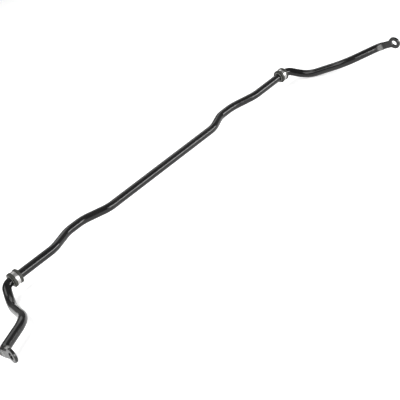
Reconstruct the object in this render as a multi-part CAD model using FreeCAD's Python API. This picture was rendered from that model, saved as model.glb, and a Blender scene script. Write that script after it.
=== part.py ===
import FreeCAD, Part
import math
import os

from FreeCAD import Vector as V

# Sway bar (anti-roll bar) with its two frame bushes.
# Working frame while building: the axis through both bushes is X, with the
# middle of the bar over the origin. +Y points to the back, where the two
# jogs go round other parts, -Y to the end eyes, and +Z is up, away from the
# flat bases of the bushes. Everything is in millimetres. At the end all
# solids move together so that the origin is the middle of the base.

# ---- torsion bar -----------------------------------------------------------
bar_d = 17.0              # spring steel rod
middle_y = -1.5           # the straight middle runs a little off the bush axis
middle_z = -1.0
jog_in_x = 151.0          # where the rod leaves the middle run
jog_top_in_x = 199.0      # jog's top, inner corner
jog_top_out_x = 238.0     # jog's top, outer corner
jog_out_x = 288.0         # where the rod is back on the bush axis
jog_y = 25.0              # how far back the jog's top stands
jog_z = -0.5
jog_bend_r = 50.0         # centre-line radius of the four jog bends
shoulder_x = 401.5        # corner where the rod turns into the arm
shoulder_bend_r = 19.0
dip = V(423.0, -37.0, -22.0)       # lowest corner of the arm
dip_bend_r = 65.0
knee = V(444.0, -132.0, -7.0)      # corner where the arm swings outward
knee_bend_r = 65.0
wrist = V(517.0, -174.0, -7.0)     # last corner before the forged flat
wrist_bend_r = 24.0
eye = V(518.0, -215.0, 0.0)        # centre of the end eye
eye_roll = 6.0            # degrees the flat is rolled about its own length

# ---- forged end eye --------------------------------------------------------
flat_t = 5.0              # thickness of the flat
eye_r = 13.0              # outside of the ring
eye_hole_r = 6.1          # clearance for an M12 link bolt
eye_hole_chamfer = 0.4
neck_half_w = 7.5         # half width of the flat behind the ring
neck_blend_r = 8.0        # concave blend between neck and ring
neck_straight = 25.0      # from the eye centre to where the neck tapers in
neck_end = 35.0           # from the eye centre to the flat's buried end
neck_end_half_w = 6.5
flat_edge_r = 1.0         # rounding along the rim of the flat
scoop_start = 30.0        # from the eye centre to the foot of the scoop
scoop_r = 9.0             # radius of the scoop's hollow
rod_end = 22.0            # the round rod stops here, inside the flat

# ---- frame bushes ----------------------------------------------------------
bush_x = 380.0            # middle of each bush, from the middle of the bar
bush_len = 18.6
flange_len = 5.8          # each of the two rubber flanges
flange_r = 14.3
flange_base = 12.8        # from the bar's axis to the flat base
flange_edge_r = 1.2
core_r = 12.4             # floor of the groove between the flanges
core_base = 11.3
slit_w = 0.6              # the cut that lets the bush open over the bar
liner_t = 0.8
liner_gap = 0.05          # radial running clearance on the bar
lip_t = 0.5               # liner's turned-out lip, thickness along the bar
lip_r = 10.6

# ---- steel bands -----------------------------------------------------------
band_w = 7.0
band_t = 0.9
lap_t = 0.5               # how much the overlapping end stands up
lap_from, lap_to = 150.0, 200.0    # degrees round from +Y, over the front
clinch_at = 163.0         # degrees, middle of the clinch
clinch_r = 0.9
clinch_depth = 0.35

bar_r = bar_d / 2.0
X, Y, Z = V(1, 0, 0), V(0, 1, 0), V(0, 0, 1)


def straight(a, b, r):
    """A length of round rod from a to b."""
    run = b - a
    return Part.makeCylinder(r, run.Length, a, run)


def elbow(a, corner, b, r):
    """A bend of round rod from a to b, tangent to the lines through corner."""
    u = V(corner - a).normalize()
    w = V(b - corner).normalize()
    turn = u.getAngle(w)
    axis = V(u.cross(w)).normalize()
    bend_r = (corner - a).Length / math.tan(turn / 2.0)
    centre = a + V(axis.cross(u)).multiply(bend_r)
    disc = Part.Face(Part.Wire(Part.makeCircle(r, a, u)))
    return disc.revolve(centre, axis, math.degrees(turn))


def bent_rod(corners, bend_radii, r):
    """Round rod through the corners, each inner corner bent to its radius."""
    pieces = []
    start = corners[0]
    for k in range(1, len(corners) - 1):
        u = V(corners[k] - corners[k - 1]).normalize()
        w = V(corners[k + 1] - corners[k]).normalize()
        setback = bend_radii[k - 1] * math.tan(u.getAngle(w) / 2.0)
        a = corners[k] - u * setback
        b = corners[k] + w * setback
        pieces.append(straight(start, a, r))
        pieces.append(elbow(a, corners[k], b, r))
        start = b
    pieces.append(straight(start, corners[-1], r))
    return pieces


def flat_blank():
    """The forged flat lying in XY with its eye at the origin and the rod
    coming in from +X: a ring, two concave blends, a neck and a taper."""
    blend_y = neck_half_w + neck_blend_r
    blend_x = math.sqrt((eye_r + neck_blend_r) ** 2 - blend_y ** 2)
    centre = V(blend_x, blend_y, 0)
    on_ring = V(centre).multiply(eye_r / (eye_r + neck_blend_r))
    on_neck = V(blend_x, neck_half_w, 0)
    to_mid = V((on_ring - centre) + (on_neck - centre)).normalize()
    mid = centre + to_mid * neck_blend_r
    taper = V(neck_straight, neck_half_w, 0)
    end = V(neck_end, neck_end_half_w, 0)

    def flip(p):
        return V(p.x, -p.y, p.z)

    edges = [
        Part.makeLine(end, taper),
        Part.makeLine(taper, on_neck),
        Part.Arc(on_neck, mid, on_ring).toShape(),
        Part.Arc(on_ring, V(-eye_r, 0, 0), flip(on_ring)).toShape(),
        Part.Arc(flip(on_ring), flip(mid), flip(on_neck)).toShape(),
        Part.makeLine(flip(on_neck), flip(taper)),
        Part.makeLine(flip(taper), flip(end)),
        Part.makeLine(flip(end), end),
    ]
    blank = Part.Face(Part.Wire(edges)).extrude(V(0, 0, flat_t))
    blank.translate(V(0, 0, -flat_t / 2.0))
    rim = [e for e in blank.Edges
           if abs(abs(e.CenterOfMass.z) - flat_t / 2.0) < 0.01
           and e.CenterOfMass.x < neck_end - 0.1]
    return blank.makeFillet(flat_edge_r, rim)


def eye_hole():
    """The pierced hole with a small chamfer at each mouth."""
    half = flat_t / 2.0
    c = eye_hole_chamfer
    hole = Part.makeCylinder(eye_hole_r, flat_t + 2, V(0, 0, -half - 1))
    top = Part.makeCone(eye_hole_r, eye_hole_r + 2 * c, 2 * c, V(0, 0, half - c))
    low = Part.makeCone(eye_hole_r + 2 * c, eye_hole_r, 2 * c, V(0, 0, -half - c))
    return hole.fuse([top, low])


def scoops():
    """What the forging dies push away: above and below the flat, ending in a
    hollow of radius scoop_r that runs out on the round rod."""
    wide = 3.0 * bar_d
    half = flat_t / 2.0
    cut = Part.makeBox(scoop_start + 5.0, wide, scoop_r, V(-5.0, -wide / 2, half))
    hollow = Part.makeCylinder(scoop_r, wide, V(scoop_start, -wide / 2, half + scoop_r), Y)
    upper = cut.fuse(hollow)
    lower = upper.mirror(V(0, 0, 0), Z)
    return upper, lower


def place(shape, origin, along, normal):
    """Moves a shape drawn with +X along and +Z normal to its place."""
    side = normal.cross(along)
    m = FreeCAD.Matrix(along.x, side.x, normal.x, origin.x,
                       along.y, side.y, normal.y, origin.y,
                       along.z, side.z, normal.z, origin.z,
                       0, 0, 0, 1)
    moved = shape.copy()
    moved.Placement = FreeCAD.Placement(m).multiply(moved.Placement)
    return moved


def eye_directions():
    """Unit vectors of the right eye: back along the flat, and its bore."""
    back = V(wrist - eye).normalize()
    level = V(back.cross(Z)).normalize()
    if level.x < 0:
        level = level.negative()
    turn = FreeCAD.Rotation(back, -eye_roll)
    return back, V(turn.multVec(level)).normalize()


def right_half():
    """Half of the bar from the middle to the right eye."""
    back, bore = eye_directions()
    corners = [
        V(0, middle_y, middle_z),
        V(jog_in_x, middle_y, middle_z),
        V(jog_top_in_x, jog_y, jog_z),
        V(jog_top_out_x, jog_y, jog_z),
        V(jog_out_x, 0, 0),
        V(shoulder_x, 0, 0),
        dip,
        knee,
        wrist,
        eye + back * rod_end,
    ]
    radii = [jog_bend_r] * 4 + [shoulder_bend_r, dip_bend_r, knee_bend_r, wrist_bend_r]
    pieces = bent_rod(corners, radii, bar_r)
    upper, lower = [place(s, eye, back, bore) for s in scoops()]
    tail = pieces[-1].fuse(pieces[-2]).cut(upper).cut(lower)
    blank = place(flat_blank(), eye, back, bore)
    half = pieces[0].fuse(pieces[1:-2] + [tail, blank])
    return half.cut(place(eye_hole(), eye, back, bore))


def torsion_bar():
    right = right_half()
    left = right.mirror(V(0, 0, 0), X)
    return right.fuse(left).removeSplitter()


def d_face(r, base, x):
    """A disc of radius r across the bar, cut flat at the base below the axis."""
    half = math.sqrt(r * r - base * base)
    a, b = V(x, -half, -base), V(x, half, -base)
    arc = Part.Arc(a, V(x, 0, r), b).toShape()
    return Part.Face(Part.Wire([arc, Part.makeLine(b, a)]))


def d_block(r, base, x0, x1):
    return d_face(r, base, x0).extrude(V(x1 - x0, 0, 0))


def rubber():
    """Two flanges with a groove between them, bored for the liner and slit."""
    half = bush_len / 2.0
    outer = d_block(flange_r, flange_base, -half, -half + flange_len)
    ends = [e for e in outer.Edges if abs(e.BoundBox.XLength) < 0.01]
    outer = outer.makeFillet(flange_edge_r, [e for e in ends if e.BoundBox.XMin < -half + 0.1])
    body = outer.fuse([
        d_block(core_r, core_base, -half + flange_len - 1.0, half - flange_len + 1.0),
        outer.mirror(V(0, 0, 0), X),
    ])
    bore = Part.makeCylinder(bar_r + liner_gap + liner_t, bush_len + 2, V(-half - 1, 0, 0), X)
    slit = Part.makeBox(bush_len + 2, flange_r, slit_w, V(-half - 1, 0, -slit_w / 2))
    return body.cut(bore).cut(slit)


def liner():
    """Slippery sleeve in the rubber, with a lip turned out at each end."""
    half = bush_len / 2.0
    inner = bar_r + liner_gap
    tube = Part.makeCylinder(inner + liner_t, bush_len, V(-half, 0, 0), X)
    lip_a = Part.makeCylinder(lip_r, lip_t, V(-half - lip_t, 0, 0), X)
    lip_b = Part.makeCylinder(lip_r, lip_t, V(half, 0, 0), X)
    body = tube.fuse([lip_a, lip_b])
    rims = [e for e in body.Edges
            if abs(abs(e.BoundBox.XMin) - half - lip_t) < 0.01 and e.BoundBox.XLength < 0.01
            and e.BoundBox.YLength > 2 * lip_r - 0.1]
    body = body.makeFillet(0.3, rims)
    bore = Part.makeCylinder(inner, bush_len + 4, V(-half - 2, 0, 0), X)
    slit = Part.makeBox(bush_len + 4, 2 * lip_r, slit_w, V(-half - 2, 0, -slit_w / 2))
    return body.cut(bore).cut(slit)


def sector(r, start, end, x0, x1):
    """A wedge of a disc about the bar's axis, angles measured from +Y to +Z."""
    def at(deg):
        return V(x0, r * math.cos(math.radians(deg)), r * math.sin(math.radians(deg)))
    arc = Part.Arc(at(start), at((start + end) / 2.0), at(end)).toShape()
    hub = V(x0, 0, 0)
    face = Part.Face(Part.Wire([Part.makeLine(hub, at(start)), arc, Part.makeLine(at(end), hub)]))
    return face.extrude(V(x1 - x0, 0, 0))


def band():
    """Steel strap in the groove; its ends lap at the front and are clinched."""
    half = band_w / 2.0
    strap = d_block(core_r + band_t, core_base + band_t, -half, half)
    lap = sector(core_r + band_t + lap_t, lap_from, lap_to, -half, half)
    body = strap.fuse(lap).cut(d_block(core_r, core_base, -half - 1, half + 1))
    rad = math.radians(clinch_at)
    out = V(0, math.cos(rad), math.sin(rad))
    top = core_r + band_t + lap_t
    dimple = Part.makeCone(clinch_r * 0.6, clinch_r * 1.3, clinch_depth + 0.5,
                           out * (top - clinch_depth), out)
    return body.cut(dimple).removeSplitter()


def build():
    parts = {"torsion_bar": torsion_bar()}
    for side, x in (("left", -bush_x), ("right", bush_x)):
        for name, maker in (("rubber", rubber), ("liner", liner), ("band", band)):
            piece = maker()
            if side == "left":
                piece = piece.mirror(V(0, 0, 0), X)
            piece.translate(V(x, 0, 0))
            parts["%s_bush_%s" % (side, name)] = piece
    return parts


def tight_box(shapes):
    """The exact box round all the shapes."""
    boxes = [s.optimalBoundingBox(False, True) for s in shapes]
    low = V(min(b.XMin for b in boxes), min(b.YMin for b in boxes), min(b.ZMin for b in boxes))
    high = V(max(b.XMax for b in boxes), max(b.YMax for b in boxes), max(b.ZMax for b in boxes))
    return low, high


parts = build()
low, high = tight_box(parts.values())
shift = V(-(low.x + high.x) / 2.0, -(low.y + high.y) / 2.0, -low.z)
os.makedirs("parts", exist_ok=True)
for name, shape in parts.items():
    shape.translate(shift)
    shape.exportStep("parts/%s.step" % name)
    print("%-20s solids %d valid %s volume %.0f" % (
        name, len(shape.Solids), shape.isValid(), shape.Volume))
print("box %.2f x %.2f x %.2f" % (high.x - low.x, high.y - low.y, high.z - low.z))
print("bar axis at y %.3f z %.3f" % (shift.y, shift.z))
back, bore = eye_directions()
centre = eye + shift
print("right eye %.3f %.3f %.3f axis %.5f %.5f %.5f" % (
    centre.x, centre.y, centre.z, bore.x, bore.y, bore.z))
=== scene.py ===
# %% [markdown]
# # Sway bar with its two frame bushes
# A sway bar is one long steel rod, bent so that it clears the axle and the
# exhaust, with a flattened eye at each end for the drop links. Two rubber
# bushes hold it to the car. The CAD model of it is loaded first as a fixed
# frame: every piece made below takes its place from that frame.

# %% Load the CAD frame
import math

import bpy
import numpy as np
from mathutils import Matrix, Vector


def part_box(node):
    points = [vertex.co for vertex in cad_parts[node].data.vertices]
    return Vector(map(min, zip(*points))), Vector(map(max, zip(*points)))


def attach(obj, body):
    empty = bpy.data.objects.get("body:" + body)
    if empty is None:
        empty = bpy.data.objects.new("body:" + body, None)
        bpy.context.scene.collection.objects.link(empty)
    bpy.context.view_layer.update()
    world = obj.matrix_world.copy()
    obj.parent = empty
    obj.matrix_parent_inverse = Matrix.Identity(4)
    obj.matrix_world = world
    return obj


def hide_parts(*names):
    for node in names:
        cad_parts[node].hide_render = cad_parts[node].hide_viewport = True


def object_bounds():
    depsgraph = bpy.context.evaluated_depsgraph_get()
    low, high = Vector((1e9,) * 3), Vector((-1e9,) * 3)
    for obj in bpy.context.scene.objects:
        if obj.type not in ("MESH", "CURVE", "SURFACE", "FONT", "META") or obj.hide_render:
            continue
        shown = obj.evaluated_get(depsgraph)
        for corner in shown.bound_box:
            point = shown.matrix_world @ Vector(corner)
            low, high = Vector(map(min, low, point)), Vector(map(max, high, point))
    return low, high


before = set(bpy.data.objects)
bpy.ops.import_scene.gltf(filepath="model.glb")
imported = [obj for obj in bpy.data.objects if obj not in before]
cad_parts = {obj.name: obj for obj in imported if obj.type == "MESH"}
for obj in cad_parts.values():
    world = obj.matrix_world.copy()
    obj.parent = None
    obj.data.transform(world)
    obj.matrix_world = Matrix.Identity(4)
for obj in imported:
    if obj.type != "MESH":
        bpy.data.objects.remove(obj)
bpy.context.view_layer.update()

# %% [markdown]
# The two bushes sit on one line, and that line is the best ruler on the
# object: the middle of each liner gives it. Every shape below is worked out
# in millimetres from the point of that line half way between the bushes, with
# X along the bar, -Y towards the eyes and Z up, and then moved once into the
# frame in metres.

# %% The bush axis, measured from the CAD liners
def middle(node):
    """Centre of a CAD node's box, in metres: half the sum of its corners."""
    low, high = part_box(node)
    return (np.array(low) + np.array(high)) / 2


left_liner, right_liner = middle("left_bush_liner"), middle("right_bush_liner")
axis_mid = (left_liner + right_liner) / 2
bush_x = 1000 * (right_liner[0] - left_liner[0]) / 2
print("bush axis at", np.round(axis_mid, 5), "bushes at +-%.1f mm" % bush_x)


# %% [markdown]
# Most pieces are made the same way: a grid of points with rows and columns,
# each cell of the grid one four-sided face. A grid can be closed round one
# way or both ways, and an open end is closed with one many-sided cap. Whole
# arrays of points go into the mesh at once, which is quick and keeps the
# shape's formula in one readable place.

# %% Helper: a mesh piece from a grid of points
def grid_faces(rows, cols, close_rows=False, close_cols=True):
    """Face (i, j) joins rows i, i+1 and columns j, j+1; closing wraps them."""
    i = np.arange(rows if close_rows else rows - 1)
    j = np.arange(cols if close_cols else cols - 1)
    i, j = np.meshgrid(i, j, indexing="ij")
    i2, j2 = (i + 1) % rows, (j + 1) % cols
    quad = np.stack([i * cols + j, i * cols + j2, i2 * cols + j2, i2 * cols + j], -1)
    return quad.reshape(-1, 4)


crease = 32.0                       # degrees: sharper edges than this stay sharp


def piece(name, points_mm, faces, caps=(), smooth_angle=crease):
    """New object at the origin: points (mm from the middle of the bush axis)
    divided by 1000 and moved into the frame, with caps as extra faces."""
    mesh = bpy.data.meshes.new(name)
    points = np.asarray(points_mm, float).reshape(-1, 3) / 1000 + axis_mid
    polygons = [*np.asarray(faces).tolist(), *[list(map(int, c)) for c in caps]]
    mesh.from_pydata(points.tolist(), [], polygons)
    mesh.validate()
    mesh.shade_smooth()
    mesh.set_sharp_from_angle(angle=math.radians(smooth_angle))
    made = bpy.data.objects.new(name, mesh)
    bpy.context.scene.collection.objects.link(made)
    print("%-22s %6d points %6d faces" % (name, len(points), len(polygons)))
    return made


# %% [markdown]
# ## The rod's line
# The real bar starts as a straight rod of 17 mm spring steel and is bent cold
# on a machine, one bend after another. So its line is made of straight runs
# and round bends. It is worked out for one half and mirrored, because both
# halves are bent to the same drawing.

# %% Corners and bend radii of one half, in mm from the bush axis
rod_r = 8.5
ring_r = 13.0                       # outside of the ring at each end
run_step, bend_step = 4.0, 1.5      # about how far apart the line's points are
mirrored = np.array([-1, 1, 1])     # turns a right-hand point into a left-hand one
corners = np.array([
    (0, -1.5, -1.0),        # middle of the bar
    (151, -1.5, -1.0),      # foot of the jog, inner side
    (199, 25, -0.5),        # top of the jog, inner side
    (238, 25, -0.5),        # top of the jog, outer side
    (288, 0, 0),            # back on the bush axis
    (401.5, 0, 0),          # shoulder
    (423, -37, -22),        # dip
    (444, -132, -7),        # knee
    (517, -174, -7),        # wrist
    (518, -215, 0),         # eye centre
])
bend_r = [50, 50, 50, 50, 19, 65, 65, 24]
eye = corners[-1]


def unit(v):
    """The vector divided by its own length."""
    return v / np.linalg.norm(v)


def half_line():
    """Points along one half: each corner is cut back by radius times the
    tangent of half the turn, and the gap is filled by an arc of that radius.
    The line runs on past the eye centre to the tip of the ring."""
    runs, start = [], corners[0]
    for k, r in enumerate(bend_r, start=1):
        a, b = unit(corners[k] - corners[k - 1]), unit(corners[k + 1] - corners[k])
        turn = np.arccos(a @ b)
        back = r * np.tan(turn / 2)
        p, q = corners[k] - a * back, corners[k] + b * back
        n = max(2, int(np.linalg.norm(p - start) / run_step))
        runs.append(start + (p - start) * np.linspace(0, 1, n, endpoint=False)[:, None])
        side = unit(b - a * (a @ b))
        angle = np.linspace(0, turn, max(8, int(r * turn / bend_step)), endpoint=False)[:, None]
        runs.append(p + r * (np.sin(angle) * a + (1 - np.cos(angle)) * side))
        start = q
    tip = eye + unit(eye - corners[-2]) * ring_r
    length = np.linalg.norm(tip - start)
    almost = 0.99999                # stops just short of the tip, where the ring has no width
    t = np.concatenate([
        np.linspace(0, length - 2 * ring_r, 40, endpoint=False),
        length - ring_r - ring_r * np.cos(np.linspace(0, np.pi, 96)) * almost,
    ])
    runs.append(start + t[:, None] * unit(tip - start))
    return np.vstack(runs)


half = half_line()
line = np.vstack([(half * mirrored)[:0:-1], half])
line_steps = np.linalg.norm(np.diff(line, axis=0), axis=1)
print("rod line: %d points, %.0f mm long" % (len(line), line_steps.sum()))


# %% [markdown]
# ## The section along the rod
# At each end the hot rod is struck flat between dies. The dies leave a hollow
# scoop above and below, where the round turns into a plate 5 mm thick, and
# the plate ends in a ring for the link bolt. So the section changes along the
# line: a full circle, then a circle with its top and bottom pressed away,
# then a plate as wide as the ring is at that place.

# %% Half width and half thickness of the section along the line
plate = 2.5               # half the thickness of the flat
neck = 7.5                # half the width of the flat behind the ring
scoop_r = 9.0             # radius of the hollow that the dies leave
scoop_at = 30.0           # from the eye centre to where the hollow starts
rim_round = 1.0           # rounding of the ring's rim at its tip
blend_r = 8.0             # fillet between ring and neck
uncut = 20.0              # a half thickness that leaves the rod round
far = 60.0                # distance given to points that are not near an eye
on_flat = 6.0             # how near the flat's line a point of that run has to be

flat_dir = unit(corners[-2] - eye)              # from the eye back to the rod


def from_eye(points):
    """Distance from the eye centre back along the flat; far away on the rest
    of the bar, so that only the last run is shaped."""
    back = (points - eye) @ flat_dir
    off = np.linalg.norm(points - eye - back[:, None] * flat_dir, axis=1)
    return np.where((off < on_flat) & (back < far), back, far)


d = np.minimum(from_eye(line), from_eye(line * mirrored))
blend_x = math.sqrt((ring_r + blend_r) ** 2 - (neck + blend_r) ** 2)
on_ring = np.sqrt(np.clip(ring_r ** 2 - d ** 2, 0, None))
on_blend = neck + blend_r - np.sqrt(np.clip(blend_r ** 2 - (d - blend_x) ** 2, 0, None))
meet = blend_x * ring_r / (ring_r + blend_r)
half_w = np.where(d < meet, on_ring, np.where(d < blend_x, on_blend, neck))
half_w = np.maximum(half_w, 0.02)               # the tip keeps a little width
up = np.clip(d - scoop_at, 0, scoop_r * 0.999)  # along the hollow, just under a quarter turn
half_t = plate + scoop_r - np.sqrt(scoop_r ** 2 - up ** 2)
half_t = np.where(d > scoop_at + scoop_r * 0.99, uncut, half_t)
tip_gap = np.clip((d + ring_r) / rim_round, 0, 1)
half_t = np.where(d < 0, plate - rim_round + rim_round * np.sqrt(1 - (1 - tip_gap) ** 2), half_t)
plate_end, fade_len = scoop_at + 4.0, 6.0       # end of the plate, and the fade before it
is_plate = np.clip((plate_end - d) / fade_len, 0, 1)     # 1 on the plate, 0 on the rod
print("flat: %.1f mm thick, neck %.1f mm wide, ring %.1f mm" % (2 * plate, 2 * neck, 2 * ring_r))


# %% [markdown]
# To carry a section along a bent line it needs a direction to start from that
# doesn't spin in the bends. It starts as the bore of the left eye, and at each
# step it is only made square to the line again. What is left over at the right
# eye is shared out evenly along the bar, where a round rod hides it.

# %% Section directions that never spin in a bend
eye_roll = math.radians(6.0)        # the flat's roll about its own length
eye_kept = 120.0                    # length at each end where nothing is shared out


def bore_direction(side):
    """Unit bore direction of an eye: level and square to the flat, then rolled
    about the flat's length; side is +1 right and -1 left."""
    level = unit(np.array([flat_dir[1], -flat_dir[0], 0.0]))
    level = level if level[0] > 0 else -level
    bore = level * math.cos(eye_roll) - np.cross(flat_dir, level) * math.sin(eye_roll)
    return bore * [side, 1, 1]


tangent = np.gradient(line, axis=0)
tangent /= np.linalg.norm(tangent, axis=1)[:, None]
normal = np.zeros_like(line)
normal[0] = bore_direction(-1)
for k in range(1, len(line)):
    normal[k] = unit(normal[k - 1] - tangent[k] * (normal[k - 1] @ tangent[k]))
goal = bore_direction(1)
binormal = np.cross(tangent, normal)
miss = math.atan2(goal @ binormal[-1], goal @ normal[-1])
miss = (miss + math.pi / 2) % math.pi - math.pi / 2
along_line = np.cumsum(np.r_[0, line_steps])
share = np.clip((along_line - eye_kept) / (line_steps.sum() - 2 * eye_kept), 0, 1)
spin = miss * share[:, None]
normal, binormal = (np.cos(spin) * normal + np.sin(spin) * binormal,
                    np.cos(spin) * binormal - np.sin(spin) * normal)
print("direction shared out along the bar: %.1f degrees" % math.degrees(miss))


# %% [markdown]
# ## The painted bar
# The section is a ring of points round the line. On the rod it is a circle,
# pressed in where the dies went. On the plate it is a rectangle with rounded
# corners. Between the two the points are mixed, and this makes the soft
# shoulders of a real forging.

# %% The bar as one surface
around = 96                         # points round the section
phi = np.linspace(0, 2 * np.pi, around, endpoint=False)
across, thick = np.cos(phi)[None, :], np.sin(phi)[None, :]


def pressed_circle(h):
    """Distance to a circle of the rod's radius cut off at height h above and
    below. The two distances a and b are joined as (a**-p + b**-p)**(-1/p),
    which is close to the smaller one and eases the corner between them."""
    p = 10.0
    flat = np.abs(thick) / h[:, None]
    return (rod_r ** -p + flat ** p) ** (-1 / p)


def rounded_plate(w, h):
    """Rectangle of half sides w and h with eased corners, written as a
    superellipse: each side times a low power of the cosine or sine, which
    packs the points into the corners where they are needed."""
    p = 9.0
    x = w[:, None] * np.sign(across) * np.abs(across) ** (2 / p)
    y = h[:, None] * np.sign(thick) * np.abs(thick) ** (2 / p)
    return x, y


mix = (is_plate ** 2 * (3 - 2 * is_plate))[:, None]     # eased at both ends of the fade
reach = pressed_circle(half_t)
plate_x, plate_y = rounded_plate(half_w, np.minimum(half_t, rod_r))
side_way = (1 - mix) * reach * across + mix * plate_x
thick_way = (1 - mix) * reach * thick + mix * plate_y
bar_points = (line[:, None, :] + side_way[..., None] * binormal[:, None, :]
              + thick_way[..., None] * normal[:, None, :])
rows = len(line)
bar = piece("painted_bar", bar_points, grid_faces(rows, around),
            caps=[range(around - 1, -1, -1), range((rows - 1) * around, rows * around)])
print("bar box", np.round(np.ptp(bar_points.reshape(-1, 3), axis=0), 1), "mm")


# %% [markdown]
# The link bolt's hole is pierced through each eye and its mouths are eased
# with a small chamfer. A turned cutter with exactly that outline is taken
# away from the bar by a Boolean, which is how the hole is made in steel too.

# %% Pierce the two eyes
def turned(name, centre, along, outline, sides=64):
    """Surface turned about an axis: outline rows are (distance along the axis,
    radius), set round the axis in equal steps."""
    u = unit(np.cross(along, np.array([0.0, 0.0, 1.0])))
    v = np.cross(along, u)
    t = np.linspace(0, 2 * np.pi, sides, endpoint=False)
    ring = np.cos(t)[:, None] * u + np.sin(t)[:, None] * v
    pts = np.array([centre + a * along + r * ring for a, r in outline])
    n = len(outline)
    return piece(name, pts, grid_faces(n, sides),
                 caps=[range(sides - 1, -1, -1), range((n - 1) * sides, n * sides)])


hole_r, ease = 6.1, 0.4             # radius of the hole and size of its chamfer
reach_out = 4.0                     # how far the cutter stands out of the middle
mouth_r = hole_r + reach_out - plate + ease
outline = [(-reach_out, mouth_r), (-plate + ease, hole_r), (plate - ease, hole_r),
           (reach_out, mouth_r)]


def flip_if_inside_out(thing):
    """Turns all faces over when the closed piece's volume comes out negative.
    The sum over faces of centre dot normal times area, with the centres taken
    from their mean, is three times the volume."""
    m = thing.data
    n = len(m.polygons)
    centre, nrm, area = np.zeros(n * 3), np.zeros(n * 3), np.zeros(n)
    m.polygons.foreach_get("center", centre)
    m.polygons.foreach_get("normal", nrm)
    m.polygons.foreach_get("area", area)
    c = centre.reshape(-1, 3)
    three_volumes = ((c - c.mean(0)) * nrm.reshape(-1, 3)).sum(1) @ area
    if three_volumes < 0:
        m.flip_normals()
    return three_volumes < 0


print("bar turned over:", flip_if_inside_out(bar))
for side, label in ((-1, "left"), (1, "right")):
    cutter = turned("cutter", eye * [side, 1, 1], bore_direction(side), outline)
    flip_if_inside_out(cutter)
    cut = bar.modifiers.new("hole_" + label, "BOOLEAN")
    cut.operation, cut.solver, cut.object = "DIFFERENCE", "EXACT", cutter
    ready = bar.evaluated_get(bpy.context.evaluated_depsgraph_get())
    pierced = bpy.data.meshes.new_from_object(ready)
    bar.modifiers.clear()
    bar.data = pierced
    bpy.data.objects.remove(cutter)
bar.data.shade_smooth()
bar.data.set_sharp_from_angle(angle=math.radians(crease))
print("pierced bar: %d points" % len(bar.data.vertices))
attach(bar, "bar")
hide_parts("torsion_bar")


# %% [markdown]
# ## The rubber bushes
# Each bush is moulded rubber: two flanges with a groove between them for the
# steel band, a flat foot that stands on the car, and one slit so that it can
# be opened over the bar. Its outline in the long direction is a closed loop,
# and round the bar each point of that loop keeps to a circle that is cut off
# flat at the foot. So the surface is a loop carried round, ending at the slit.

# %% A loop carried round the bar, with a flat foot
liner_gap, liner_t = 0.05, 0.8
bore_r = rod_r + liner_gap + liner_t            # of the rubber
flange_r = 14.3                                 # round side of the flanges
groove_r, groove_foot = 12.4, 11.3              # round side, and depth of the foot
foot_slope = 0.21                               # extra foot depth lost per mm of radius
bush_half, flange_len = 9.3, 5.8                # half the bush's length, one flange's
half_slit = 0.3                                 # half the slit's width
no_foot = 40.0                                  # a foot depth that cuts nothing


def foot_radius(angle, r, foot):
    """Distance from the axis to a circle of radius r cut flat at depth foot:
    the smaller of r and foot over the sine of the angle below the axis, eased
    where they meet. Rows are loop points and columns are angles."""
    p = 60.0
    down = np.clip(-np.sin(angle)[None, :], 1e-3, None)
    return (r[:, None] ** -p + (down / foot[:, None]) ** p) ** (-1 / p)


def round_corner(a, corner, b, r, n=6):
    """Points easing a corner between a and b: the arc of radius r tangent to
    both edges, spread evenly in angle."""
    a, corner, b = map(np.array, (a, corner, b))
    u, w = unit(a - corner), unit(b - corner)
    turn = np.arccos(np.clip(u @ w, -1, 1))
    back = r / np.tan(turn / 2)
    centre = corner + unit(u + w) * r / np.sin(turn / 2)
    s = corner + u * back - centre
    e = corner + w * back - centre
    sweep = np.arccos(np.clip(unit(s) @ unit(e), -1, 1))
    t = np.linspace(0, 1, n)[:, None]
    return centre + (np.sin((1 - t) * sweep) * s + np.sin(t * sweep) * e) / np.sin(sweep)


def soft_loop(points, radii, n=6):
    """Closed loop through the points with each corner eased to its radius; a
    corner of radius 0 stays sharp."""
    pts = [np.array(p, float) for p in points]
    out = []
    for k, r in enumerate(radii):
        a, c, b = pts[k - 1], pts[k], pts[(k + 1) % len(pts)]
        out.append(round_corner(a, c, b, r, n) if r > 0 else c[None])
    return np.vstack(out)


def slit_angles(r, n):
    """n angles from one lip of the slit at +Y round to the other; the lip's
    angle is the arc sine of half the slit's width over the bore's radius."""
    lip = math.asin(half_slit / r)
    return np.linspace(lip, 2 * np.pi - lip, n)


def carried_round(name, x, along, reach, angle, slit, smooth_angle=crease):
    """Loop carried round the bar at x: each point is (x + along, reach cos,
    reach sin). A slit piece gets a cap on each lip, and others close up."""
    m, n = reach.shape
    pts = np.stack([np.broadcast_to(along[:, None], (m, n)) + x,
                    reach * np.cos(angle)[None, :], reach * np.sin(angle)[None, :]], -1)
    first_lip = [k * n for k in range(m)]
    last_lip = [k * n + n - 1 for k in range(m)][::-1]
    made = piece(name, pts, grid_faces(m, n, close_rows=True, close_cols=not slit),
                 caps=[first_lip, last_lip] if slit else (), smooth_angle=smooth_angle)
    flip_if_inside_out(made)
    return made


# %% [markdown]
# The bore of the rubber is a full circle, while the flanges and the groove are
# cut flat at the foot. So each point of the loop has a foot depth as well as a
# radius, and on the bore the foot is put so far below that it cuts nothing.
# A fine raised line shows where the two halves of the mould met.

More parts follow.
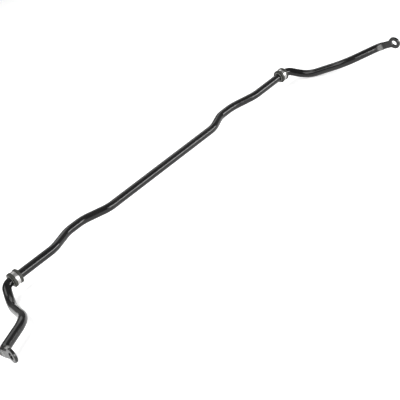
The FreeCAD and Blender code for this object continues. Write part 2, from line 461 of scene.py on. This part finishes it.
# %% The rubber's loop and surface
def rubber_bush(name, x):
    """The loop is bore, flange, groove, flange. Foot depth is the radius less
    the groove's cut, and a little more cut on larger radii. The mould line is
    a bell curve 0.12 mm high at the top and the foot, on the flanges' rims."""
    h, f = bush_half, bush_half - flange_len
    corner_pts = [(-h, bore_r), (-h, flange_r), (-f, flange_r), (-f, groove_r),
                  (f, groove_r), (f, flange_r), (h, flange_r), (h, bore_r)]
    loop = soft_loop(corner_pts, [0.35, 1.3, 0.4, 0.3, 0.3, 0.4, 1.3, 0.35])
    along, r = loop[:, 0], loop[:, 1]
    cut_flat = r - (groove_r - groove_foot) - (r - groove_r) * foot_slope
    foot = np.where(r > bore_r + 0.5, cut_flat, no_foot)
    angle = slit_angles(bore_r, 180)
    reach = foot_radius(angle, r, foot)
    from_top = np.mod(angle, np.pi) - np.pi / 2
    mould_line = 0.12 * np.exp(-(from_top / 0.012) ** 2)[None, :]
    reach = reach + np.where(r[:, None] > flange_r - 0.9, mould_line, 0)
    return carried_round(name, x, along, reach, angle, slit=True)


for label, side in (("left", -1), ("right", 1)):
    b = rubber_bush(label + "_rubber", side * bush_x)
    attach(b, label + "_bush")
    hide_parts(label + "_bush_rubber")


# %% [markdown]
# ## The liners
# A pale, slippery liner is bonded into the rubber so that the bar turns in it
# without squeaking. It ends in a small lip turned out over the face of the
# rubber. It is a plain turned shape with the same slit, so a loop carried
# round the axis makes it as well.

# %% The liner with its lips
lip_t, lip_r = 0.5, 10.6            # thickness and outer radius of the lip


def liner(name, x):
    """Loop of (distance along, radius): bore, lip, outside of the tube, lip."""
    h, inner, outer = bush_half, rod_r + liner_gap, bore_r - 0.01       # clear of the rubber
    corner_pts = [(-h - lip_t, inner), (-h - lip_t, lip_r), (-h, lip_r), (-h, outer),
                  (h, outer), (h, lip_r), (h + lip_t, lip_r), (h + lip_t, inner)]
    loop = soft_loop(corner_pts, [0.15, 0.2, 0.08, 0, 0, 0.08, 0.2, 0.15], n=4)
    angle = slit_angles(inner, 120)
    reach = np.broadcast_to(loop[:, 1][:, None], (len(loop), len(angle)))
    return carried_round(name, x, loop[:, 0], reach, angle, slit=True)


for label, side in (("left", -1), ("right", 1)):
    s = liner(label + "_liner", side * bush_x)
    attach(s, label + "_bush")
    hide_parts(label + "_bush_liner")


# %% [markdown]
# ## The steel bands
# A strip of bright steel is wrapped in the groove, its ends lapped at the
# front and clinched: a round punch presses one end into the other and leaves
# a small dimple. The strip's outline is a thin rectangle with rolled edges,
# carried all the way round, and the lap and dimple are added to its outside.

# %% The band with its lap and clinch
band_half, band_t, lap_t = 3.5, 0.9, 0.5        # half width, strip, step of the lap
lap_from, lap_to, clinch_at = 150, 200, 163     # degrees from +Y over the top
clinch_r, clinch_depth = 0.8, 0.35              # of the punch's dimple


def rise(deg, at):
    """Climbs from 0 to 1 within about a degree, round the angle at."""
    return 1 / (1 + np.exp(-(deg - at) / 0.25))


def steel_band(name, x):
    """Outside = groove floor + thickness + lap height between two angles +
    dimple: less the depth times a steep bell curve about the clinch, and a
    slight raised ring round it."""
    corner_pts = [(-band_half, 0.0), (-band_half, band_t), (band_half, band_t), (band_half, 0.0)]
    loop = soft_loop(corner_pts, [0.12, 0.3, 0.3, 0.12], n=5)
    extra = np.linspace(-band_half + 0.4, band_half - 0.4, 25)      # rows for the dimple
    k = int(np.argmax(loop[:, 0] > 0))
    loop = np.vstack([loop[:k], np.c_[extra, np.full(len(extra), band_t)], loop[k:]])
    along, height = loop[:, 0], loop[:, 1]
    near_step = np.array([-0.4, 0, 0.4])
    angle = np.sort(np.concatenate([
        np.linspace(0, 2 * np.pi, 200, endpoint=False),
        np.radians(np.linspace(clinch_at - 9, clinch_at + 9, 60)),
        np.radians(np.r_[lap_from + near_step, lap_to + near_step]),
    ]))
    deg = np.degrees(angle)
    floor_r = foot_radius(angle, np.full(len(loop), groove_r), np.full(len(loop), groove_foot))
    lap = lap_t * rise(deg, lap_from) * (1 - rise(deg, lap_to))
    arc = np.radians(deg - clinch_at)[None, :] * (groove_r + band_t)
    away = np.sqrt(arc ** 2 + along[:, None] ** 2)
    dimple = (-clinch_depth * np.exp(-(away / clinch_r) ** 4)
              + 0.04 * np.exp(-((away - 1.35) / 0.35) ** 2))
    outer = (height / band_t)[:, None]              # 0 on the inside and 1 on the outside
    reach = floor_r + height[:, None] + outer * (lap[None, :] + dimple)
    return carried_round(name, x, along, reach, angle, slit=False, smooth_angle=40)


for label, side in (("left", -1), ("right", 1)):
    s = steel_band(label + "_band", side * bush_x)
    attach(s, label + "_bush")
    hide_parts(label + "_bush_band")


# %% [markdown]
# ## Finishes
# Each finish is a small tree of nodes read from Object coordinates, which are
# metres in the same frame as the CAD, so a noise scale of 500 gives marks
# about 2 mm across. The helpers below only save typing.

# %% Helper: a material and its nodes
def finish(name):
    """New material with its main shader, a node maker and a link maker."""
    m = bpy.data.materials.new(name)
    m.use_nodes = True
    tree = m.node_tree
    shader = next(n for n in tree.nodes if n.type == "BSDF_PRINCIPLED")

    def node(kind, **settings):
        made = tree.nodes.new("ShaderNode" + kind)
        for key, value in settings.items():
            if key in made.inputs:
                made.inputs[key].default_value = value
            else:
                setattr(made, key, value)
        return made

    return m, shader, node, tree.links.new


def speckle(node, link, where, scale, detail, low, high):
    """Noise stretched so that values under low are 0 and over high are 1."""
    n = node("TexNoise", Scale=scale, Detail=detail, Roughness=0.6)
    link(where, n.inputs["Vector"])
    r = node("MapRange")
    r.inputs["From Min"].default_value, r.inputs["From Max"].default_value = low, high
    link(n.outputs["Fac"], r.inputs["Value"])
    return r.outputs["Result"]


def mix_colour(node, link, amount, a, b):
    """Colour a where amount is 0 and b where it is 1; a may be a socket. In
    this node inputs 6 and 7 are the two colours and output 2 is the result."""
    m = node("Mix", data_type="RGBA")
    link(amount, m.inputs[0])
    if isinstance(a, tuple):
        m.inputs[6].default_value = (*a, 1)
    else:
        link(a, m.inputs[6])
    m.inputs[7].default_value = (*b, 1)
    return m.outputs[2]


def times(node, link, socket, factor):
    """The socket's value times a plain number."""
    m = node("Math", operation="MULTIPLY")
    link(socket, m.inputs[0])
    m.inputs[1].default_value = factor
    return m.outputs[0]


def ranged(node, link, socket, low, high):
    """A value from 0 to 1 spread from low to high."""
    r = node("MapRange")
    r.inputs["To Min"].default_value, r.inputs["To Max"].default_value = low, high
    link(socket, r.inputs["Value"])
    return r.outputs["Result"]


def texture(node, link, where, kind, **settings):
    """Texture node read at where."""
    t = node(kind, **settings)
    link(where, t.inputs["Vector"])
    return t


def coat(material, *things):
    """Gives the finish to the pieces in place of what they had."""
    for thing in things:
        thing.data.materials.clear()
        thing.data.materials.append(material)
    print("%-18s %2d nodes, on %s" % (material.name, len(material.node_tree.nodes),
                                      ", ".join(t.name for t in things)))


def bump(node, link, shader, heights):
    """One bump after another; heights are (socket, distance in metres, strength)."""
    last = None
    for socket, distance, strength in heights:
        b = node("Bump", Strength=strength, Distance=distance)
        link(socket, b.inputs["Height"])
        if last is not None:
            link(last, b.inputs["Normal"])
        last = b.outputs["Normal"]
    link(last, shader.inputs["Normal"])


# %% [markdown]
# The bar is dipped or sprayed in black paint. It is glossy but not a mirror:
# the coat has a fine orange peel, a few dull patches from handling and a
# little grey dust. The forged flats are duller than the drawn rod. The
# hollows beside them get a painted highlight: pale grey mixed into the paint
# stands in for the light their concave faces reflect. Two attributes on the
# mesh say where the flats and the hollows are.

# %% Black paint
def mark_forging(thing):
    """Writes "forged", 1 near an eye and faded out from 28 to 42 mm, and
    "scoop", 1 in the middle of a hollow and faded out over 3 mm at its ends
    and its sides."""
    n = len(thing.data.vertices)
    co = np.zeros(n * 3)
    thing.data.vertices.foreach_get("co", co)
    co = (co.reshape(-1, 3) - axis_mid) * 1000
    on_right = co * np.where(co[:, :1] < 0, [mirrored], [[1, 1, 1]])
    away = np.linalg.norm(on_right - eye, axis=1)
    back = (on_right - eye) @ flat_dir
    across = np.abs((on_right - eye) @ np.cross(flat_dir, bore_direction(1)))
    fade = 3.0
    in_scoop = (np.clip((back - 30.5) / fade, 0, 1) * np.clip((40.0 - back) / fade, 0, 1)
                * np.clip((8.0 - across) / fade, 0, 1))
    for name, value in (("forged", np.clip((42 - away) / 14, 0, 1)), ("scoop", in_scoop)):
        mark = thing.data.attributes.new(name, "FLOAT", "POINT")
        mark.data.foreach_set("value", value)


mark_forging(bar)
paint, shader, node, link = finish("black_bar_paint")
where = node("TexCoord").outputs["Object"]
forged = node("Attribute", attribute_name="forged").outputs["Fac"]
scoop = node("Attribute", attribute_name="scoop").outputs["Fac"]
patches = speckle(node, link, where, 38, 4, 0.42, 0.66)
dust = speckle(node, link, where, 900, 3, 0.60, 0.74)
# Noise that breaks up the painted highlight in the hollows.
hollow_highlight_noise = speckle(node, link, where, 350, 2, -0.15, 0.60)
peel = texture(node, link, where, "TexNoise", Scale=420, Detail=2)
hammer_marks = texture(node, link, where, "TexVoronoi", Scale=260)
painted_hollow_highlight = node("Math", operation="MULTIPLY")
link(scoop, painted_hollow_highlight.inputs[0])
link(hollow_highlight_noise, painted_hollow_highlight.inputs[1])
colour = mix_colour(node, link, patches, (0.0035, 0.0035, 0.0038), (0.0085, 0.0082, 0.008))
colour = mix_colour(node, link, times(node, link, dust, 0.22), colour, (0.09, 0.09, 0.085))
colour = mix_colour(node, link, times(node, link, forged, 0.5), colour, (0.014, 0.014, 0.0135))
# Painted highlight: pale grey in the hollows, standing in for the light they reflect.
colour = mix_colour(node, link, painted_hollow_highlight.outputs[0], colour, (0.19, 0.19, 0.185))
link(colour, shader.inputs["Base Color"])
duller = node("Math", operation="ADD")
link(times(node, link, forged, 0.10), duller.inputs[0])
link(ranged(node, link, patches, 0.10, 0.20), duller.inputs[1])
link(duller.outputs[0], shader.inputs["Roughness"])
shader.inputs["IOR"].default_value = 1.43
bump(node, link, shader, [(peel.outputs["Fac"], 0.00012, 0.5), (dust, 0.00003, 0.3),
                          (hammer_marks.outputs["Distance"], 0.00006, 0.25)])
coat(paint, bar)

# %% [markdown]
# Moulded rubber is matt and slightly green-grey, with a bloom of pale wax in
# patches and a fine pebbled grain from the mould.

# %% Moulded rubber
def both(kind):
    """The left and the right piece of a kind."""
    return [bpy.data.objects[label + kind] for label in ("left_", "right_")]


rubber, shader, node, link = finish("moulded_rubber")
where = node("TexCoord").outputs["Object"]
bloom = speckle(node, link, where, 160, 5, 0.40, 0.70)
grain = texture(node, link, where, "TexNoise", Scale=1600, Detail=3)
pebbles = texture(node, link, where, "TexVoronoi", Scale=1100)
colour = mix_colour(node, link, bloom, (0.012, 0.0125, 0.0095), (0.034, 0.035, 0.027))
link(colour, shader.inputs["Base Color"])
link(ranged(node, link, bloom, 0.55, 0.78), shader.inputs["Roughness"])
bump(node, link, shader, [(grain.outputs["Fac"], 0.00010, 0.6),
                          (pebbles.outputs["Distance"], 0.00008, 0.5)])
coat(rubber, *both("rubber"))

# %% [markdown]
# The liner is a pale woven cloth set in resin, seen only as a thin ring round
# the bar. Fine slanted waves stand for its weave, and dirt darkens patches.

# %% Pale liner
pale, shader, node, link = finish("pale_liner")
where = node("TexCoord").outputs["Object"]
weave = texture(node, link, where, "TexWave", wave_type="BANDS", bands_direction="DIAGONAL",
                Scale=900, Distortion=2.0)
dirt = speckle(node, link, where, 300, 4, 0.45, 0.75)
colour = mix_colour(node, link, dirt, (0.24, 0.24, 0.225), (0.09, 0.09, 0.08))
link(colour, shader.inputs["Base Color"])
link(ranged(node, link, dirt, 0.45, 0.7), shader.inputs["Roughness"])
bump(node, link, shader, [(weave.outputs["Fac"], 0.00006, 0.6)])
coat(pale, *both("liner"))

# %% [markdown]
# The band is rolled steel strip with bright zinc. Rolling leaves fine lines
# along the strip, that is round the bar, so the noise is squeezed: it changes
# fast along the bar and slowly across it. A soft cloudiness and a few darker
# spots keep it from looking like chrome.

# %% Bright zinc strip
strip, shader, node, link = finish("bright_zinc_strip")
where = node("TexCoord").outputs["Object"]
squeeze = node("Mapping")
squeeze.inputs["Scale"].default_value = (1.0, 0.04, 0.04)
link(where, squeeze.inputs["Vector"])
rolling = texture(node, link, squeeze.outputs["Vector"], "TexNoise", Scale=5200, Detail=3)
cloud = speckle(node, link, where, 240, 4, 0.35, 0.72)
spots = speckle(node, link, where, 1300, 2, 0.66, 0.78)
colour = mix_colour(node, link, cloud, (0.66, 0.65, 0.635), (0.38, 0.375, 0.37))
colour = mix_colour(node, link, spots, colour, (0.22, 0.21, 0.20))
link(colour, shader.inputs["Base Color"])
shader.inputs["Metallic"].default_value = 1.0
link(ranged(node, link, cloud, 0.30, 0.46), shader.inputs["Roughness"])
bump(node, link, shader, [(rolling.outputs["Fac"], 0.00003, 0.5), (cloud, 0.00005, 0.2)])
coat(strip, *both("band"))


# %% [markdown]
# ## Floor, light and camera
# The bar lies on a pale floor that glows a little, as on a light table, so the
# shadow stays faint and the rod's lower side picks up a soft grey.

# %% Floor
def floor_piece(half_side=15.0):
    """Flat square 0.2 mm under the lowest point of the object, in metres."""
    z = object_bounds()[0].z - 0.0002
    w = half_side
    mesh = bpy.data.meshes.new("floor")
    mesh.from_pydata([(-w, -w, z), (w, -w, z), (w, w, z), (-w, w, z)], [], [(0, 1, 2, 3)])
    made = bpy.data.objects.new("floor", mesh)
    bpy.context.scene.collection.objects.link(made)
    return made


floor = floor_piece()
cover, shader, node, link = finish("pale_floor")
where = node("TexCoord").outputs["Object"]
mottle = speckle(node, link, where, 6, 3, 0.3, 0.7)
colour = mix_colour(node, link, mottle, (0.93, 0.93, 0.93), (0.95, 0.95, 0.95))
link(colour, shader.inputs["Base Color"])
shader.inputs["Roughness"].default_value = 0.9
shader.inputs["Specular IOR Level"].default_value = 0.0
shader.inputs["Emission Color"].default_value = (1, 1, 1, 1)
shader.inputs["Emission Strength"].default_value = 0.5
coat(cover, floor)

# %% [markdown]
# A glossy black rod shows the room more than its own colour, so the room gives
# it shape. A dim white world keeps its upper side dark. A long low strip in
# front draws the thin bright line along it, a small panel in front is aimed at
# the right-hand end, and two large soft lights from above do the rest.

# %% Dim room and soft lights
world = bpy.data.worlds.new("white_room")
world.use_nodes = True
world.node_tree.nodes["Background"].inputs["Color"].default_value = (1, 1, 1, 1)
world.node_tree.nodes["Background"].inputs["Strength"].default_value = 0.26
bpy.context.scene.world = world


def soft_light(name, offset, size, watts, aim=(0, 0, 0)):
    """Rectangular light: offset and aim are metres from the bush axis middle."""
    place, target = mid + Vector(offset), mid + Vector(aim)
    data = bpy.data.lights.new(name, "AREA")
    data.shape, data.size, data.size_y, data.energy = "RECTANGLE", size[0], size[1], watts
    made = bpy.data.objects.new(name, data)
    made.location = place
    made.rotation_euler = (target - place).to_track_quat("-Z", "Y").to_euler()
    bpy.context.scene.collection.objects.link(made)
    print("%-16s %.1f x %.1f m %4d W" % (name, *size, watts))


mid = Vector(axis_mid)
soft_light("low_front_strip", (1.5, -2.6, 0.42), (4.0, 0.60), 115)
soft_light("front_panel", (0.0, -2.8, 1.0), (1.1, 0.4), 17, aim=(0.45, -0.1, 0))
soft_light("key_from_left", (-1.7, 0.5, 2.3), (2.4, 2.4), 55)
soft_light("key_from_right", (1.5, 1.6, 2.3), (2.0, 2.0), 20)

# %% [markdown]
# The camera stands in front and to the left, 0.6 m above the bar, and is
# tilted about its own line of sight, so that the bar climbs from the bottom
# left of the view to the top right.

# %% Camera
camera = bpy.data.objects.new("camera", bpy.data.cameras.new("camera"))
bpy.context.scene.collection.objects.link(camera)
camera.data.sensor_width = 36.0
camera.data.lens = 77.3595                              # mm
look = np.array([0.49892, 0.7604, -0.41578])            # line of sight
tilt_up = np.array([0.54817, 0.09471, 0.83099])         # up in the view
to_right = unit(np.cross(look, tilt_up))
tilt_up = np.cross(to_right, look)
stand = axis_mid + np.array([-0.8474, -1.3648, 0.6315])
turn = Matrix([[to_right[i], tilt_up[i], -look[i]] for i in range(3)])
camera.matrix_world = Matrix.Translation(Vector(stand)) @ turn.to_4x4()
camera.data.clip_start, camera.data.clip_end = 0.05, 60
bpy.context.scene.camera = camera
bpy.context.scene.view_settings.view_transform = "Standard"
print("camera", np.round(stand, 3), "lens %.1f mm" % camera.data.lens)
